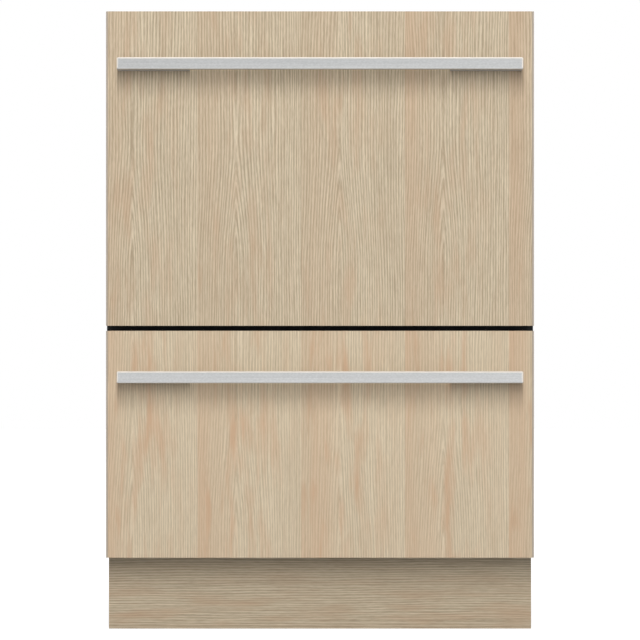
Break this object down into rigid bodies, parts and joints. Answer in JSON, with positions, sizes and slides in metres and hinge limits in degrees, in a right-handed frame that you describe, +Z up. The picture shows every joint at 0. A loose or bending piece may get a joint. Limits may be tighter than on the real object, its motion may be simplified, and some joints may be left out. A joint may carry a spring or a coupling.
{
  "type": "built-in double-drawer dishwasher",
  "caption": "Built-in dishwasher with stacked sliding wash drawers behind timber-veneer fronts with square bar handles, over a recessed timber plinth.",
  "frame": {"origin": "on the floor, at the middle of the footprint's box", "axes": "+X to the right seen from the front, +Y from the drawer fronts to the rear panel, +Z up"},
  "size_m": [0.598, 0.6306, 0.864],
  "materials": {
    "timber_veneer": "open-grain veneer with a matt seal",
    "plinth_timber": "open-grain veneer with a matt seal, grain level",
    "satin_metal": "satin",
    "zinc_sheet": "zinc-coated sheet, smooth",
    "runner_steel": "zinc-coated, smooth",
    "dark_enamel": "dark powder coat, fine texture",
    "black_rubber": "matt",
    "black_plastic": "moulded, fine texture",
    "tub_plastic": "moulded, smooth",
    "pale_plastic": "moulded, satin",
    "rack_coating": "nylon coat over steel wire",
    "blue_plastic": "moulded, satin"
  },
  "bodies": {
    "chassis": {"chassis_shell": "zinc_sheet", "rear_panel": "zinc_sheet", "divider_shelf": "zinc_sheet", "base_pan": "black_plastic", "front_seal": "black_rubber", "plinth_board": "plinth_timber", "water_inlet_valve": "pale_plastic", "service_bulkhead": "black_plastic", "control_module": "black_plastic", "levelling_foot_front_left": "black_plastic", "levelling_foot_front_right": "black_plastic", "levelling_foot_rear_left": "black_plastic", "levelling_foot_rear_right": "black_plastic", "upper_fixed_rail_left": "runner_steel", "upper_fixed_rail_right": "runner_steel", "lower_fixed_rail_left": "runner_steel", "lower_fixed_rail_right": "runner_steel"},
    "upper_drawer": {"upper_timber_panel": "timber_veneer", "upper_handle": "satin_metal", "upper_front_frame": "dark_enamel", "upper_control_strip": "black_plastic", "upper_carriage": "runner_steel", "upper_tub": "tub_plastic", "upper_wash_motor": "black_plastic", "upper_filter_plate": "pale_plastic", "upper_dish_rack": "rack_coating", "upper_cutlery_basket": "blue_plastic", "upper_dispenser": "pale_plastic"},
    "upper_middle_rails": {"upper_middle_rail_left": "runner_steel", "upper_middle_rail_right": "runner_steel"},
    "upper_power_button": {"upper_power_button": "satin_metal"},
    "upper_start_button": {"upper_start_button": "satin_metal"},
    "upper_spray_arm": {"upper_spray_arm": "pale_plastic"},
    "upper_dispenser_door": {"upper_dispenser_door": "tub_plastic"},
    "upper_lid": {"upper_lid": "tub_plastic", "upper_lid_seal": "black_rubber"},
    "upper_rear_link": {"upper_rear_link_arm": "black_plastic"},
    "upper_front_link": {"upper_front_link_arm": "black_plastic"},
    "lower_drawer": {"lower_timber_panel": "timber_veneer", "lower_handle": "satin_metal", "lower_front_frame": "dark_enamel", "lower_control_strip": "black_plastic", "lower_carriage": "runner_steel", "lower_tub": "tub_plastic", "lower_wash_motor": "black_plastic", "lower_filter_plate": "pale_plastic", "lower_dish_rack": "rack_coating", "lower_cutlery_basket": "blue_plastic", "lower_dispenser": "pale_plastic"},
    "lower_middle_rails": {"lower_middle_rail_left": "runner_steel", "lower_middle_rail_right": "runner_steel"},
    "lower_power_button": {"lower_power_button": "satin_metal"},
    "lower_start_button": {"lower_start_button": "satin_metal"},
    "lower_spray_arm": {"lower_spray_arm": "pale_plastic"},
    "lower_dispenser_door": {"lower_dispenser_door": "tub_plastic"},
    "lower_lid": {"lower_lid": "tub_plastic", "lower_lid_seal": "black_rubber"},
    "lower_rear_link": {"lower_rear_link_arm": "black_plastic"},
    "lower_front_link": {"lower_front_link_arm": "black_plastic"},
    "upper_cup_rack": {"upper_cup_rack": "rack_coating"}
  },
  "joints": [
    {"name": "upper_drawer_slide", "type": "slide", "parent": "chassis", "child": "upper_drawer", "axis": [0, -1, 0], "range_m": [0, 0.5]},
    {"name": "upper_middle_rails_slide", "type": "slide", "parent": "chassis", "child": "upper_middle_rails", "axis": [0, -1, 0], "range_m": [0, 0.25]},
    {"name": "upper_lid_lift", "type": "slide", "parent": "chassis", "child": "upper_lid", "axis": [0, 0, -1], "range_m": [0, 0.012]},
    {"name": "upper_rear_link_fold", "type": "hinge", "parent": "chassis", "child": "upper_rear_link", "pos_m": [0.25, 0.2848, 0.5428], "axis": [0, 0, 1], "range_deg": [0, 29.7]},
    {"name": "upper_front_link_fold", "type": "hinge", "parent": "upper_rear_link", "child": "upper_front_link", "pos_m": [-0.25, 0.2848, 0.5581], "axis": [0, 0, 1], "range_deg": [-59.4, 0]},
    {"name": "upper_spray_arm_spin", "type": "hinge", "parent": "upper_drawer", "child": "upper_spray_arm", "pos_m": [0, 0.00185, 0.5083], "axis": [0, 0, 1], "continuous": true},
    {"name": "upper_dispenser_door_hinge", "type": "hinge", "parent": "upper_drawer", "child": "upper_dispenser_door", "pos_m": [-0.022, -0.2112, 0.7432], "axis": [-1, 0, 0], "range_deg": [0, 100]},
    {"name": "upper_power_button_press", "type": "slide", "parent": "upper_drawer", "child": "upper_power_button", "axis": [0, 0, -1], "range_m": [0, 0.0008], "stiffness_N_per_m": 500, "springref_m": -0.0004},
    {"name": "upper_start_button_press", "type": "slide", "parent": "upper_drawer", "child": "upper_start_button", "axis": [0, 0, -1], "range_m": [0, 0.0008], "stiffness_N_per_m": 500, "springref_m": -0.0004},
    {"name": "lower_drawer_slide", "type": "slide", "parent": "chassis", "child": "lower_drawer", "axis": [0, -1, 0], "range_m": [0, 0.5]},
    {"name": "lower_middle_rails_slide", "type": "slide", "parent": "chassis", "child": "lower_middle_rails", "axis": [0, -1, 0], "range_m": [0, 0.25]},
    {"name": "lower_lid_lift", "type": "slide", "parent": "chassis", "child": "lower_lid", "axis": [0, 0, -1], "range_m": [0, 0.012]},
    {"name": "lower_rear_link_fold", "type": "hinge", "parent": "chassis", "child": "lower_rear_link", "pos_m": [0.25, 0.2848, 0.2231], "axis": [0, 0, 1], "range_deg": [0, 29.7]},
    {"name": "lower_front_link_fold", "type": "hinge", "parent": "lower_rear_link", "child": "lower_front_link", "pos_m": [-0.25, 0.2848, 0.2384], "axis": [0, 0, 1], "range_deg": [-59.4, 0]},
    {"name": "lower_spray_arm_spin", "type": "hinge", "parent": "lower_drawer", "child": "lower_spray_arm", "pos_m": [0, 0.00185, 0.1886], "axis": [0, 0, 1], "continuous": true},
    {"name": "lower_dispenser_door_hinge", "type": "hinge", "parent": "lower_drawer", "child": "lower_dispenser_door", "pos_m": [-0.022, -0.2112, 0.3062], "axis": [-1, 0, 0], "range_deg": [0, 100]},
    {"name": "lower_power_button_press", "type": "slide", "parent": "lower_drawer", "child": "lower_power_button", "axis": [0, 0, -1], "range_m": [0, 0.0008], "stiffness_N_per_m": 500, "springref_m": -0.0004},
    {"name": "lower_start_button_press", "type": "slide", "parent": "lower_drawer", "child": "lower_start_button", "axis": [0, 0, -1], "range_m": [0, 0.0008], "stiffness_N_per_m": 500, "springref_m": -0.0004},
    {"name": "upper_cup_rack_fold", "type": "hinge", "parent": "upper_drawer", "child": "upper_cup_rack", "pos_m": [-0.24, 0.0169, 0.6503], "axis": [0, -1, 0], "range_deg": [0, 90]}
  ],
  "couplings": [
    {"joint": "upper_middle_rails_slide", "follows": "upper_drawer_slide", "ratio": 0.5},
    {"joint": "upper_rear_link_fold", "follows": "upper_drawer_slide", "rad_per_m": 1.034},
    {"joint": "upper_front_link_fold", "follows": "upper_drawer_slide", "rad_per_m": -2.068},
    {"joint": "lower_middle_rails_slide", "follows": "lower_drawer_slide", "ratio": 0.5},
    {"joint": "lower_rear_link_fold", "follows": "lower_drawer_slide", "rad_per_m": 1.034},
    {"joint": "lower_front_link_fold", "follows": "lower_drawer_slide", "rad_per_m": -2.068}
  ]
}
